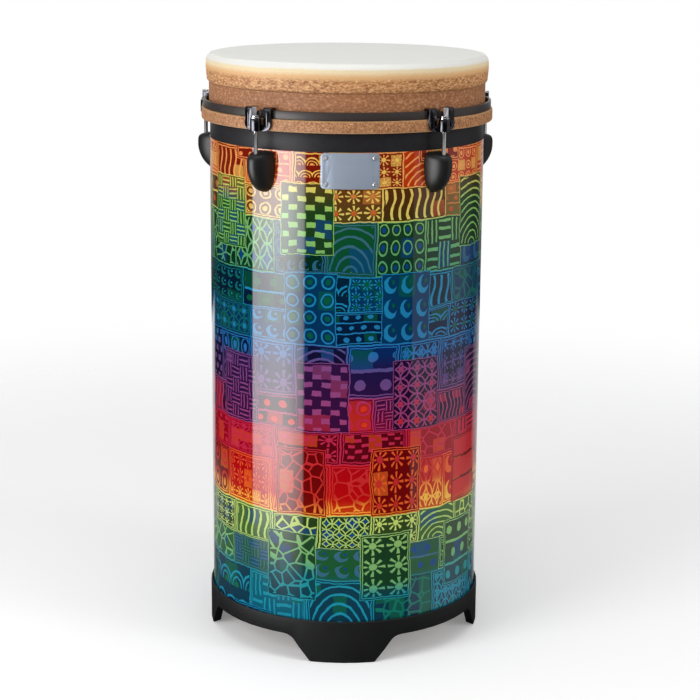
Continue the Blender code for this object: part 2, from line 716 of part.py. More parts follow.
def nut_mesh():
    """Flanged swivel nut, with its origin at the flange's top on the rod's axis."""
    bore = round_hole(THREAD_RADIUS + ROD_CLEARANCE, ROUND_SIDES)
    return ring_mesh("swivel_nut", [
        (NUT_FLANGE_RADIUS, 0.0),
        (NUT_FLANGE_RADIUS, -NUT_FLANGE_HEIGHT),
        (NUT_RADIUS, -NUT_FLANGE_HEIGHT),
        (NUT_RADIUS, -NUT_HEIGHT),
        (bore, -NUT_HEIGHT),
        (bore, 0.0),
    ])


def lug_cavity():
    """Stepped bore for rod and nut, on the rod's axis."""
    rod = round_hole(THREAD_RADIUS + ROD_CLEARANCE, ROUND_SIDES)
    body = round_hole(NUT_RADIUS + GAP, ROUND_SIDES)
    flange = round_hole(NUT_FLANGE_RADIUS + GAP, ROUND_SIDES)
    shoulder = NUT_TOP - NUT_FLANGE_HEIGHT - GAP
    profile = [
        (0.0, LUG_TOP + LUG_DROP),
        (rod, LUG_TOP + LUG_DROP),
        (rod, NUT_TOP + GAP),
        (flange, NUT_TOP + GAP),
        (flange, shoulder),
        (body, shoulder),
        (body, NUT_BOTTOM - GAP),
        (rod, NUT_BOTTOM - GAP),
        (rod, POCKET_BOTTOM),
        (0.0, POCKET_BOTTOM),
    ]
    item = cutter("lug_cavity", turned_mesh("lug_cavity", profile, closed=False), None)
    item.location.y = -ROD_CIRCLE
    add_turn(item, ROUND_SIDES)
    return item


def lug_mesh():
    """Half an egg with a flat top, hollowed from behind for its nut."""
    bm = bmesh.new()
    bmesh.ops.create_uvsphere(bm, u_segments=LUG_SEGMENTS, v_segments=LUG_RINGS, radius=1.0)
    fall = math.tan(math.radians(LUG_TOP_TILT))
    for vert in bm.verts:
        reach = math.hypot(vert.co.x, vert.co.y)
        share = min(abs(vert.co.z), 1.0)
        low = vert.co.z <= 0
        if low:
            wide = (1 - share ** LUG_FOOT_WIDTH_POWER) ** (1 / LUG_FOOT_WIDTH_POWER)
            deep = (1 - share ** LUG_FOOT_REACH_POWER) ** (1 / LUG_FOOT_REACH_POWER)
            tall = -share * LUG_FOOT
        else:
            wide = deep = reach ** LUG_SQUARENESS
            tall = share ** LUG_SQUARENESS * LUG_CROWN
        across = vert.co.x * wide * LUG_HALF_WIDTH / max(reach, WELD)
        outward = -vert.co.y * deep * LUG_REACH / max(reach, WELD)
        past_rod = WRAPPED_RADIUS + outward - ROD_CIRCLE
        drop = 0.0 if low else past_rod * fall * tall / LUG_CROWN
        vert.co = (across, -WRAPPED_RADIUS - outward, LUG_MIDDLE + tall - drop)
    lug = cutter("lug", mesh_from(bm, "lug"), None)
    bm = bmesh.new()
    back = WRAPPED_RADIUS + GAP
    margin = LUG_REACH
    add_upright(bm, back, LUG_MIDDLE - LUG_FOOT - margin, LUG_TOP + margin, RING_SIDES)
    drum = cutter("shell_side", mesh_from(bm, "shell_side"), None)
    cavity = lug_cavity()
    body = NUT_RADIUS + GAP
    flange = NUT_FLANGE_RADIUS + GAP
    shoulder = NUT_TOP - NUT_FLANGE_HEIGHT - GAP
    slot_outline = [
        (flange, NUT_TOP + GAP),
        (-flange, NUT_TOP + GAP),
        (-flange, shoulder),
        (-body, shoulder),
        (-body, NUT_BOTTOM - GAP),
        (body, NUT_BOTTOM - GAP),
        (body, shoulder),
        (flange, shoulder),
    ]
    depth = ROD_CIRCLE - WRAPPED_RADIUS + SHELL_WALL
    place = Matrix.Translation((0.0, -ROD_CIRCLE + depth / 2, 0.0)) @ STANDING
    slot = cutter("nut_slot", plate_mesh("nut_slot", slot_outline, depth, place), None)
    bm = bmesh.new()
    radius = round_hole(LUG_SCREW_RADIUS + SCREW_CLEARANCE, SCREW_SIDES)
    bite = back + LUG_SCREW_BITE + GAP
    for drop in LUG_SCREW_DROPS.values():
        add_radial(bm, radius, BORE_RADIUS, bite, SCREW_SIDES, 0.0, LUG_TOP - drop)
    screws = cutter("lug_screw_holes", mesh_from(bm, "lug_screw_holes"), None)
    helpers = [drum, cavity, slot, screws]
    for item in helpers:
        combine(lug, item, "DIFFERENCE")
    return finish_pattern(lug, "lug", helpers)


def make_stations(axis, lift):
    nickel = material("black_nickel", (58, 58, 62), 0.25, 1.0)
    chrome = material("bright_chrome", (205, 205, 208), 0.12, 1.0)
    satin = material("satin_black", (40, 40, 42), 0.4)
    brass = material("nut_brass", (176, 148, 92), 0.35, 1.0)
    steel = material("lug_screw_steel", (96, 96, 98), 0.4, 1.0)
    claw = claw_mesh()
    rod = rod_mesh()
    washer = washer_mesh()
    nut = nut_mesh()
    lug = lug_mesh()
    bite = SHELL_RADIUS + GAP + WRAP_WALL + GAP + LUG_SCREW_BITE
    seat = BORE_RADIUS - GAP
    screw = screw_mesh(
        "lug_screw", LUG_SCREW_RADIUS, bite - seat, LUG_SCREW_HEAD_RADIUS, LUG_SCREW_HEAD_HEIGHT
    )
    for number, azimuth in enumerate(STATION_ANGLES, 1):
        angle = math.radians(azimuth)
        spin = (0.0, 0.0, angle)
        piece(f"claw_{number}", claw, nickel, lift, rotation=spin)
        place = on_circle(ROD_CIRCLE, azimuth, BOSS_TOP + GAP)
        piece(f"rod_washer_{number}", washer, chrome, lift, place, spin)
        place = on_circle(ROD_CIRCLE, azimuth, FLANGE_BOTTOM)
        piece(f"tension_rod_{number}", rod, chrome, lift, place, spin)
        piece(f"lug_{number}", lug, satin, axis, rotation=spin)
        place = on_circle(ROD_CIRCLE, azimuth, NUT_TOP)
        piece(f"swivel_nut_{number}", nut, brass, axis, place, spin)
        for level, drop in LUG_SCREW_DROPS.items():
            place = on_circle(seat, azimuth, LUG_TOP - drop)
            outward = (math.radians(90), 0.0, angle)
            piece(f"lug_screw_{level}_{number}", screw, steel, axis, place, outward)


def rivet_seat():
    """Radius of the badge's outer face, on which the rivet heads sit."""
    return WRAPPED_RADIUS + GAP + BADGE_WALL + GAP


def rivet_places():
    across = BADGE_WIDTH / 2 - RIVET_INSET
    up = BADGE_HEIGHT / 2 - RIVET_INSET
    lean = math.degrees(math.asin(across / rivet_seat()))
    return [(side * lean, BADGE_MIDDLE + level * up) for side in (-1, 1) for level in (1, -1)]


def make_badge(axis):
    brushed = material("brushed_badge", (150, 160, 174), 0.35, 0.9)
    outer = WRAPPED_RADIUS + GAP + BADGE_WALL
    margin = BADGE_CORNER
    badge = turned("badge", [
        (outer, BADGE_MIDDLE + BADGE_HEIGHT / 2 + margin),
        (outer, BADGE_MIDDLE - BADGE_HEIGHT / 2 - margin),
        (outer - BADGE_WALL, BADGE_MIDDLE - BADGE_HEIGHT / 2 - margin),
        (outer - BADGE_WALL, BADGE_MIDDLE + BADGE_HEIGHT / 2 + margin),
    ], RING_SIDES, brushed, axis)
    half = BADGE_WIDTH / 2
    low = BADGE_MIDDLE - BADGE_HEIGHT / 2
    high = BADGE_MIDDLE + BADGE_HEIGHT / 2
    outline = rounded([
        (-half, low, BADGE_CORNER),
        (half, low, BADGE_CORNER),
        (half, high, BADGE_CORNER),
        (-half, high, BADGE_CORNER),
    ])
    place = Matrix.Translation((0.0, -WRAPPED_RADIUS, 0.0)) @ STANDING
    shape = cutter("badge_outline", plate_mesh("badge_outline", outline, half, place), axis)
    combine(badge, shape, "INTERSECT")
    bm = bmesh.new()
    radius = round_hole(RIVET_RADIUS + SCREW_CLEARANCE, SCREW_SIDES)
    for azimuth, height in rivet_places():
        add_radial(bm, radius, SHELL_RADIUS, outer + BADGE_WALL, SCREW_SIDES, azimuth, height)
    combine(badge, cutter("rivet_holes", mesh_from(bm, "rivet_holes"), axis), "DIFFERENCE")
    rivet = screw_mesh("badge_rivet", RIVET_RADIUS, RIVET_LENGTH, RIVET_HEAD_RADIUS, RIVET_HEAD_HEIGHT)
    polished = material("rivet_steel", (190, 190, 194), 0.2, 1.0)
    for number, (azimuth, height) in enumerate(rivet_places(), 1):
        place = on_circle(rivet_seat(), azimuth, height)
        inward = (math.radians(-90), 0.0, math.radians(azimuth))
        piece(f"badge_rivet_{number}", rivet, polished, axis, place, inward)


clear_file()
DRUM = collection("standing_hand_drum")
CUTTERS = collection("cutters")
drum_axis = empty("drum_axis", location=(0.0, AXIS_Y, 0.0))
head_lift = empty("head_lift", drum_axis)
make_shell(drum_axis)
make_base(drum_axis)
make_head(head_lift)
make_stations(drum_axis, head_lift)
make_badge(drum_axis)
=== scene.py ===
import math

import bmesh
import bpy
from mathutils import Matrix, Vector


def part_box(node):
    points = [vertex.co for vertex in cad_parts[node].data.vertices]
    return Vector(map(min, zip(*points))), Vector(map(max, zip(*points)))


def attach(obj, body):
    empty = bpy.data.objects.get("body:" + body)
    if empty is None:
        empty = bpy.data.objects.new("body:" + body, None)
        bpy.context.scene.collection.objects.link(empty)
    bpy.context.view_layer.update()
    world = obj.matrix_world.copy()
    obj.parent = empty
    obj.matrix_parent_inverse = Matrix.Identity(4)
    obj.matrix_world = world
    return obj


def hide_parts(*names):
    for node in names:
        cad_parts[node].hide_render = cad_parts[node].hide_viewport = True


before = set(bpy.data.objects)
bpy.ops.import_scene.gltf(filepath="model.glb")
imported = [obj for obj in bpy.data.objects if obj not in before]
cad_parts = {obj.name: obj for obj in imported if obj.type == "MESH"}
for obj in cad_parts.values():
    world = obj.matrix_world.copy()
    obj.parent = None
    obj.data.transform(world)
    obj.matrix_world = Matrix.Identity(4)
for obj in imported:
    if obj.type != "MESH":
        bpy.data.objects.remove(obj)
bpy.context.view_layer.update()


# The shell is a tube of pressed fibre, tan and matt, cut square at the bottom and tapered to a bearing
# edge at the top. Its outside is covered, so it shows only from below and inside.
class Wire:
    """A shader socket on which Python's arithmetic adds Math nodes."""

    def __init__(self, finish, socket):
        self.finish = finish
        self.socket = socket

    def math(self, operation, *others):
        return self.finish.math(operation, self, *others)

    def __add__(self, other):
        return self.math("ADD", other)

    def __sub__(self, other):
        return self.math("SUBTRACT", other)

    def __mul__(self, other):
        return self.math("MULTIPLY", other)

    def __truediv__(self, other):
        return self.math("DIVIDE", other)

    def __rsub__(self, other):
        return self.finish.math("SUBTRACT", other, self)

    def __rtruediv__(self, other):
        return self.finish.math("DIVIDE", other, self)

    def __gt__(self, other):
        return self.math("GREATER_THAN", other)

    def __lt__(self, other):
        return self.math("LESS_THAN", other)

    def __abs__(self):
        return self.math("ABSOLUTE")

    __radd__ = __add__
    __rmul__ = __mul__

    def floor(self):
        return self.math("FLOOR")

    def fract(self):
        return self.math("FRACT")

    def sine(self):
        return self.math("SINE")

    def low(self, other):
        return self.math("MINIMUM", other)

    def high(self, other):
        return self.math("MAXIMUM", other)

    def clip(self):
        return self.high(0.0).low(1.0)

    def far(self, other):
        """Length of the arrow (self, other)."""
        return (self * self + other * other).math("SQRT")


class Finish:
    """A material round one Principled shader. Constants are set on its own sockets."""

    def __init__(self, name, **constants):
        self.material = bpy.data.materials.new(name)
        self.material.use_nodes = True
        self.nodes = self.material.node_tree.nodes
        self.links = self.material.node_tree.links
        self.shader = self.nodes["Principled BSDF"]
        for socket, value in constants.items():
            self.shader.inputs[socket.replace("_", " ")].default_value = value
        self.place = self.node("ShaderNodeTexCoord", {}, [], "Object")

    def node(self, kind, settings, values, output=0):
        node = self.nodes.new(kind)
        for key, value in settings.items():
            setattr(node, key, value)
        for socket, value in values.items() if isinstance(values, dict) else enumerate(values):
            if isinstance(value, Wire):
                self.links.new(value.socket, node.inputs[socket])
            else:
                node.inputs[socket].default_value = value
        return Wire(self, node.outputs[output])

    def math(self, operation, *values):
        return self.node("ShaderNodeMath", {"operation": operation}, values)

    def axes(self):
        """X, y and z of the point, measured from the drum's axis and the floor."""
        x = self.node("ShaderNodeSeparateXYZ", {}, [self.place])
        y, z = [Wire(self, x.socket.node.outputs[index]) for index in (1, 2)]
        return x, y - AXIS.y, z

    def noise(self, scale, detail=3.0, stretch=(1.0, 1.0, 1.0)):
        place = self.node("ShaderNodeVectorMath", {"operation": "MULTIPLY"}, [self.place, stretch])
        return self.node("ShaderNodeTexNoise", {}, {"Vector": place, "Scale": scale, "Detail": detail})

    def ramp(self, factor, *stops):
        """A colour that changes along stops of (position, red, green, blue)."""
        wire = self.node("ShaderNodeValToRGB", {}, [factor])
        elements = wire.socket.node.color_ramp.elements
        elements.remove(elements[1])
        elements[0].position = stops[0][0]
        elements[0].color = paint(*stops[0][1:])
        for position, *colour in stops[1:]:
            elements.new(position).color = paint(*colour)
        return wire

    def mix(self, factor, first, second):
        return self.node("ShaderNodeMix", {"data_type": "RGBA"}, {0: factor, 6: first, 7: second}, 2)

    def feed(self, socket, wire):
        self.links.new(wire.socket, self.shader.inputs[socket])

    def mottle(self, factor, first, second):
        self.feed("Base Color", self.mix(factor, paint(*first), paint(*second)))

    def bump(self, height, distance, strength=0.5):
        values = {"Height": height, "Distance": distance, "Strength": strength}
        self.feed("Normal", self.node("ShaderNodeBump", {}, values))


def paint(red, green, blue):
    """Screen levels, 0 to 255, as linear light."""
    shares = [level / 255 for level in (red, green, blue)]
    return [s / 12.92 if s < 0.0405 else ((s + 0.055) / 1.055) ** 2.4 for s in shares] + [1.0]


def finish_node(finish, *nodes):
    """Gives solids that are shown as they are the finish of what they are made of."""
    for node in nodes:
        mesh = bpy.data.objects[node].data
        mesh.materials.clear()
        mesh.materials.append(finish.material)


def extent(node):
    """Outer radius, bottom and top of a ring round the drum's axis."""
    low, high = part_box(node)
    return (high[0] - low[0]) / 2, low[2], high[2]


shell_low, shell_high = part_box("shell")
AXIS = Vector((0.0, (shell_low[1] + shell_high[1]) / 2, 0.0))
fibre_finish = Finish("shell_fibre", Roughness=0.85)
fibre_tone = fibre_finish.noise(140.0, 5.0, (1.0, 1.0, 0.4))
fibre_finish.mottle(fibre_tone, (126, 92, 62), (172, 132, 94))
fibre_finish.bump(fibre_tone, 0.0006)
finish_node(fibre_finish, "shell")

# The printed wrap is a thin glossy sheet bonded round the shell. Under its clear coat lies a generic
# patchwork of uneven patches, each filled with one plain motif, in bands of many colours.
TURN_STEPS = 240
WRAP_WALL = 0.0010


def to_mesh(bm, name):
    mesh = bpy.data.meshes.new(name)
    bm.to_mesh(mesh)
    bm.free()
    return mesh


def spun(name, profile, closed=True):
    """An outline of (radius, height) swept once round the drum's axis."""
    bm = bmesh.new()
    verts = [bm.verts.new((radius, AXIS.y, height)) for radius, height in profile]
    edges = [bm.edges.new(pair) for pair in zip(verts, verts[1:])]
    if closed:
        edges.append(bm.edges.new((verts[-1], verts[0])))
    bmesh.ops.spin(
        bm, geom=[*verts, *edges], cent=AXIS, axis=(0, 0, 1), angle=2 * math.pi, steps=TURN_STEPS,
        use_merge=True)
    bmesh.ops.remove_doubles(bm, verts=bm.verts, dist=0.00001)
    bmesh.ops.recalc_face_normals(bm, faces=bm.faces)
    if bm.calc_volume(signed=True) < 0:
        bmesh.ops.reverse_faces(bm, faces=bm.faces)
    return to_mesh(bm, name)


def add_piece(name, mesh, finish, body, *nodes, sharp=35):
    """Puts a piece in the place of the solids that it stands for."""
    mesh.materials.append(finish.material)
    mesh.shade_smooth()
    mesh.set_sharp_from_angle(angle=math.radians(sharp))
    item = bpy.data.objects.new(name, mesh)
    bpy.context.scene.collection.objects.link(item)
    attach(item, body)
    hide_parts(*nodes)


wrap_radius, wrap_low, wrap_high = extent("printed_wrap")
AROUND = 2000 * math.pi * wrap_radius      # the wrap's length in millimetres, the design's unit
ROW_HEIGHT = 44.0
TALL_COLUMNS = 9
TALL_ROW_HEIGHT = 96.0
TALL_WIDE_SHARE = 0.55
TALL_HIGH_SHARE = 0.80

printed = Finish(
    "wrap_print", Roughness=0.5, Specular_IOR_Level=0.0, Coat_Weight=1.0, Coat_Roughness=0.02, Coat_IOR=1.6)
x, y, z = printed.axes()
turn = x.math("ARCTAN2", y * -1.0) * (0.5 / math.pi) + 0.5
drift = printed.noise(24.0, 2.0) - 0.5
up = z * 1000 + drift * 7.0 + (printed.noise(190.0, 1.0) - 0.5) * 1.8
over = (printed.noise(29.0, 2.0) - 0.5) * 7.0 + (printed.noise(170.0, 1.0) - 0.5) * 1.8


def dice(seed, spread):
    """A number from 0 to 1 that stays the same over a patch."""
    return ((seed * spread).sine() * 437.585).fract()


def inside(share):
    return (share > 0.0) * (share < 1.0)


def choose(factor, first, second):
    return first + (second - first) * factor


rise = up / ROW_HEIGHT + (up * 0.048).sine() * 0.16
columns = (dice(rise.floor(), 2.98) * 7.0).floor() + 11.0
across = (turn + dice(rise.floor(), 4.14) + over / AROUND) * columns
tall_rise = up / TALL_ROW_HEIGHT + 0.36
tall_across = (turn + dice(tall_rise.floor(), 6.37) + over / AROUND) * TALL_COLUMNS
tall_seed = tall_rise.floor() * 5.77 + tall_across.floor() * 9.31 + 40.0
tall_u = (tall_across.fract() - 0.1) / TALL_WIDE_SHARE
tall_v = (tall_rise.fract() - 0.1) / TALL_HIGH_SHARE
is_tall = (dice(tall_seed, 1.7) > 0.5) * inside(tall_u) * inside(tall_v)
u = choose(is_tall, across.fract(), tall_u)
v = choose(is_tall, rise.fract(), tall_v)
seed = choose(is_tall, rise.floor() * 7.13 + across.floor() * 3.71, tall_seed)
width = choose(is_tall, AROUND / columns, AROUND / TALL_COLUMNS * TALL_WIDE_SHARE)
height = choose(is_tall, ROW_HEIGHT, TALL_ROW_HEIGHT * TALL_HIGH_SHARE)
first, second, third, fourth = [dice(seed, spread) for spread in (1.298, 7.823, 3.935, 5.117)]

cell_size = first * 11.0 + 13.0
wide = u * (width / cell_size + 0.5).floor().high(2.0)
tall = v * (height / cell_size + 0.5).floor().high(2.0)
side, level = wide.fract() - 0.5, tall.fract() - 0.5
from_middle = side.far(level)
from_corner = (abs(side) - 0.5).far(abs(level) - 0.5)
rings = abs(from_middle - 0.34) < 0.048
shifted = (wide + tall.floor() * 0.5).fract() - 0.5
scale = shifted.far(tall.fract() * 0.95)
scales = (abs(scale - 0.54) < 0.048).high(abs(scale - 0.33) < 0.034)
petals = (abs(from_middle - 0.5) < 0.042).high(abs(from_corner - 0.5) < 0.042)
crossing = ((wide.floor() + tall.floor()) * 0.5).fract() > 0.25
weave = choose(crossing, (level * 3.0 + 0.25).fract() < 0.34, (side * 3.0 + 0.25).fract() < 0.34)
bearing = level.math("ARCTAN2", side) * (4.0 / math.pi) + 0.2
rays = (bearing.fract() < 0.38) * (abs(from_middle - 0.32) < 0.13)
crescents = (from_middle < 0.37) * ((side - 0.13).far(level - 0.10) > 0.27)
waves = (wide * 2.0 + (tall * math.pi).sine() * 0.24).fract() < 0.30
arch = ((u - 0.5) * width).far(v * height)
arches = (arch / 7.5).fract() < 0.26
stairs = (((wide * 2.0).floor() + tall * 2.0) * 0.5).fract() < 0.30
beads = abs(level) > 0.44
pebbles = printed.node("ShaderNodeTexVoronoi", {"feature": "DISTANCE_TO_EDGE"}, {
    "Vector": printed.place, "Scale": 72.0}) < 0.062
centre = from_middle < 0.16
blank = from_middle < -1.0
MOTIFS = [
    (rings, centre), (scales, scale < 0.16), (petals, centre), (weave, blank), (rays, centre),
    (crescents, (side - 0.17).far(level - 0.13) < 0.09), (waves, blank), (arches, arch < 4.5),
    (stairs, blank), (beads, shifted.far(level * 1.1) < 0.22), (pebbles, blank)]
turned = (second * 2.0).floor() + rise.floor() * 4.0 + across.floor() * 3.0
kind = ((choose(is_tall, turned, tall_rise.floor() * 4.0 + tall_across.floor() * 5.0 + 1.0) + 0.5)
        / len(MOTIFS)).fract() * len(MOTIFS) - 0.5
motif, jewel = 0.0, 0.0
for number, (outline, filling) in enumerate(MOTIFS):
    is_kind = abs(kind - number) < 0.5
    motif = outline * is_kind + motif
    jewel = filling * is_kind + jewel
edge = ((0.5 - abs(u - 0.5)) * width).low((0.5 - abs(v - 0.5)) * height)
double = third > 0.45
border = (edge < 0.85).high((abs(edge - 2.8) < 0.55) * double)
filled = edge > double * 1.9 + 2.3
reverse = fourth > 0.95
ink = abs(border.high(motif * filled) - reverse * filled)

patch_share = (1000 * z - (v - 0.5) * height * 0.65) / 1000
share = (patch_share - wrap_low) / (wrap_high - wrap_low) + (third - 0.5) * 0.03
ground = printed.ramp(
    share, (0.00, 10, 48, 72), (0.13, 12, 60, 74), (0.14, 12, 54, 30), (0.255, 16, 48, 12), (0.265, 110, 34, 9),
    (0.30, 126, 10, 4), (0.31, 112, 3, 3), (0.45, 72, 2, 16), (0.47, 28, 4, 38), (0.565, 12, 8, 44),
    (0.58, 0, 14, 56), (0.735, 0, 22, 44), (0.75, 0, 40, 30), (0.865, 2, 44, 16), (0.88, 56, 42, 14),
    (0.92, 116, 20, 4), (1.00, 122, 12, 3))
tone = printed.ramp(
    share, (0.00, 12, 84, 116), (0.13, 16, 96, 108), (0.14, 22, 84, 48), (0.255, 66, 100, 36),
    (0.265, 196, 78, 14), (0.30, 192, 38, 8), (0.31, 182, 1, 8), (0.45, 134, 1, 26), (0.47, 54, 8, 54),
    (0.565, 26, 16, 66), (0.58, 4, 34, 90), (0.735, 0, 52, 84), (0.75, 0, 68, 54), (0.865, 12, 80, 34),
    (0.88, 98, 96, 38), (0.92, 184, 58, 16), (1.00, 186, 38, 8))
line = printed.ramp(
    share, (0.00, 24, 138, 182), (0.13, 34, 148, 154), (0.14, 112, 178, 110), (0.255, 216, 230, 118),
    (0.265, 252, 216, 96), (0.30, 246, 158, 58), (0.31, 200, 44, 32), (0.45, 190, 36, 84), (0.47, 166, 62, 114),
    (0.565, 88, 76, 138), (0.58, 38, 112, 178), (0.735, 20, 138, 176), (0.75, 36, 146, 116),
    (0.865, 144, 196, 98), (0.88, 228, 212, 104), (0.92, 252, 180, 92), (1.00, 248, 150, 84))
accent = printed.ramp(
    share, (0.00, 16, 108, 70), (0.13, 16, 108, 62), (0.14, 10, 66, 136), (0.255, 14, 74, 128),
    (0.265, 250, 206, 80), (0.30, 246, 186, 64), (0.31, 240, 106, 38), (0.45, 222, 56, 32), (0.47, 200, 38, 40),
    (0.565, 24, 80, 150), (0.58, 6, 92, 60), (0.735, 6, 88, 54), (0.75, 8, 62, 134), (0.865, 12, 70, 128),
    (0.88, 186, 30, 16), (0.92, 244, 200, 92), (1.00, 248, 204, 96))
cloth = printed.noise(480.0, 3.0)
cell = dice(wide.floor() * 3.1 + tall.floor() * 7.7 + seed, 1.53)
field = printed.mix((dice(seed, 2.417) > 0.6) * 1.0, ground, tone)
field = printed.mix(fourth * 0.05 * (cloth + 0.5), field, line)
field = printed.mix((cell > 0.80) * filled * 0.5, field, accent)
stroke = printed.mix((fourth < 0.22) * 0.8, line, accent)
colour = printed.mix(ink * (cloth * 0.3 + 0.80), field, stroke)
colour = printed.mix(jewel * filled * 0.9, colour, printed.mix((third > 0.5) * 1.0, accent, line))
seam = abs(turn - 0.5) > 0.4992
printed.feed("Base Color", printed.mix(seam, colour, paint(24, 22, 24)))
add_piece("wrap_sheet", spun("wrap_sheet", [
    (wrap_radius, wrap_high), (wrap_radius, wrap_low), (wrap_radius - WRAP_WALL, wrap_low),
    (wrap_radius - WRAP_WALL, wrap_high)]), printed, "drum_body", "printed_wrap")

# The black band is a satin strip glued round the bare top of the shell, between the wrap and the hoops.
# Its edges are cut square.
BAND_WALL = 0.0006


def eased(inner, outer, low, high, ease):
    """Outline of a ring with its four corners rounded."""
    bit = ease * 0.3
    return [
        (outer - ease, high), (outer - bit, high - bit), (outer, high - ease), (outer, low + ease),
        (outer - bit, low + bit), (outer - ease, low), (inner + ease, low), (inner + bit, low + bit),
        (inner, low + ease), (inner, high - ease), (inner + bit, high - bit), (inner + ease, high)]


band_finish = Finish("band_black", Roughness=0.4, Specular_IOR_Level=0.14)
band_finish.mottle(band_finish.noise(160.0), (36, 35, 37), (44, 43, 46))
band_radius, band_low, band_high = extent("top_band")
band_outline = eased(band_radius - BAND_WALL, band_radius, band_low, band_high, 0.0001)
add_piece("band_strip", spun("band_strip", band_outline), band_finish, "drum_body", "top_band")

# Inside, a raw board closes the bottom round the sound tube, which is wound from fibre and lets the bass
# out. Both keep their solids.
finish_node(fibre_finish, "sound_tube")
board_finish = Finish("board_wood", Roughness=0.8)
board_tone = board_finish.noise(60.0, 5.0, (1.0, 9.0, 1.0))
board_finish.mottle(board_tone, (118, 88, 58), (160, 128, 90))
board_finish.bump(board_tone, 0.0005, 0.3)
finish_node(board_finish, "baffle")

# The base is one black moulding with a fine leathery grain: a shallow cup that takes the shell, on four
# feet with arches between them. Screws from below hold it to the board.
BASE_EDGE = 0.0007


def softened(node, width, segments=2, limit=32, weld=0.000005, room=0.0):
    """A welded copy of a solid with its sharp edges rounded, apart from those at crowded corners."""
    bm = bmesh.new()
    bm.from_mesh(bpy.data.objects[node].data)
    bmesh.ops.remove_doubles(bm, verts=bm.verts, dist=weld)
    bmesh.ops.dissolve_degenerate(bm, dist=weld, edges=bm.edges)
    bmesh.ops.dissolve_limit(bm, angle_limit=math.radians(1.0), verts=bm.verts, edges=bm.edges)
    crowded = {vert for vert in bm.verts if min(edge.calc_length() for edge in vert.link_edges) < room}
    sharp = [
        edge for edge in bm.edges
        if edge.is_manifold and edge.calc_face_angle(0.0) > math.radians(limit)
        and not crowded.intersection(edge.verts)]
    bmesh.ops.bevel(
        bm, geom=sharp, offset=width, segments=segments, profile=0.5, affect="EDGES",
        clamp_overlap=room == 0.0, material=-1)
    return to_mesh(bm, node + "_soft")


base_finish = Finish("base_moulding", Roughness=0.5, Specular_IOR_Level=0.2)
base_grain = base_finish.noise(900.0, 2.0)
base_finish.mottle(base_finish.noise(30.0), (21, 21, 22), (27, 28, 29))
base_finish.feed("Roughness", base_grain * 0.2 + 0.42)
base_finish.bump(base_grain, 0.0004, 0.25)
add_piece("footed_base", softened("base", BASE_EDGE), base_finish, "drum_body", "base")
screw_finish = Finish("screw_plated", Metallic=1.0)
screw_tone = screw_finish.noise(600.0, 2.0)
screw_finish.mottle(screw_tone, (96, 96, 98), (126, 126, 128))
screw_finish.feed("Roughness", screw_tone * 0.2 + 0.3)
finish_node(screw_finish, *[f"base_screw_{number}" for number in range(1, 5)])

# The lugs are egg-shaped castings in satin black, flat on top where the rod goes in. Two screws from
# inside the shell hold each one, and a brass nut swivels in its hollow.
STATIONS = range(1, 6)
STATION_STEP = 2 * math.pi / len(STATIONS)
LUG_HALF_WIDTH = 0.01370
LUG_REACH = 0.0243
LUG_CROWN = 0.0134
LUG_FOOT = 0.0290
LUG_SQUARENESS = 0.42
LUG_FOOT_WIDTH_POWER = 2.3
LUG_FOOT_REACH_POWER = 1.8
LUG_FALL = math.tan(math.radians(6.0))
ROD_FROM_WRAP = 0.0149


def egg(name, azimuth, middle):
    """Half an egg against the wrap, with a flat sloping top."""
    bm = bmesh.new()
    bmesh.ops.create_uvsphere(bm, u_segments=64, v_segments=40, radius=1.0)
    for vert in bm.verts:
        reach = math.hypot(vert.co.x, vert.co.y)
        share = min(abs(vert.co.z), 1.0)
        low = vert.co.z <= 0
        if low:
            wide = (1 - share ** LUG_FOOT_WIDTH_POWER) ** (1 / LUG_FOOT_WIDTH_POWER)
            deep = (1 - share ** LUG_FOOT_REACH_POWER) ** (1 / LUG_FOOT_REACH_POWER)
            tall = -share * LUG_FOOT
        else:
            wide = deep = reach ** LUG_SQUARENESS
            tall = share ** LUG_SQUARENESS * LUG_CROWN
        across = vert.co.x * wide * LUG_HALF_WIDTH / max(reach, 0.00001)
        outward = -vert.co.y * deep * LUG_REACH / max(reach, 0.00001)
        drop = 0.0 if low else (outward - ROD_FROM_WRAP) * LUG_FALL * tall / LUG_CROWN
        vert.co = (across, -wrap_radius - outward, middle + tall - drop)
    back = -math.sqrt(wrap_radius ** 2 - LUG_HALF_WIDTH ** 2)
    cut = bmesh.ops.bisect_plane(
        bm, geom=[*bm.verts, *bm.edges, *bm.faces], plane_co=(0, back, 0), plane_no=(0, 1, 0),
        clear_outer=True)
    rim = [item for item in cut["geom_cut"] if isinstance(item, bmesh.types.BMEdge)]
    bmesh.ops.holes_fill(bm, edges=rim, sides=0)
    place = Matrix.Translation(AXIS) @ Matrix.Rotation(azimuth, 4, "Z")
    bmesh.ops.transform(bm, matrix=place, verts=bm.verts)
    bmesh.ops.recalc_face_normals(bm, faces=bm.faces)
    return to_mesh(bm, name)


lug_finish = Finish("lug_satin", Specular_IOR_Level=0.4)
lug_tone = lug_finish.noise(700.0, 2.0)
lug_finish.mottle(lug_tone, (20, 20, 21), (28, 28, 29))
lug_finish.feed("Roughness", lug_tone * 0.1 + 0.36)
lug_finish.bump(lug_tone, 0.0002, 0.12)
brass_finish = Finish("nut_turned_brass", Metallic=1.0)
brass_tone = brass_finish.noise(500.0, 2.0)
brass_finish.mottle(brass_tone, (168, 140, 84), (190, 162, 104))
brass_finish.feed("Roughness", brass_tone * 0.15 + 0.28)
for number in STATIONS:
    lug = f"lug_{number}"
    mesh = egg(lug + "_soft", STATION_STEP * (number - 0.5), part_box(lug)[0][2] + LUG_FOOT)
    add_piece(f"lug_body_{number}", mesh, lug_finish, "drum_body", lug)
    finish_node(screw_finish, f"lug_screw_high_{number}", f"lug_screw_low_{number}")
    finish_node(brass_finish, f"swivel_nut_{number}")

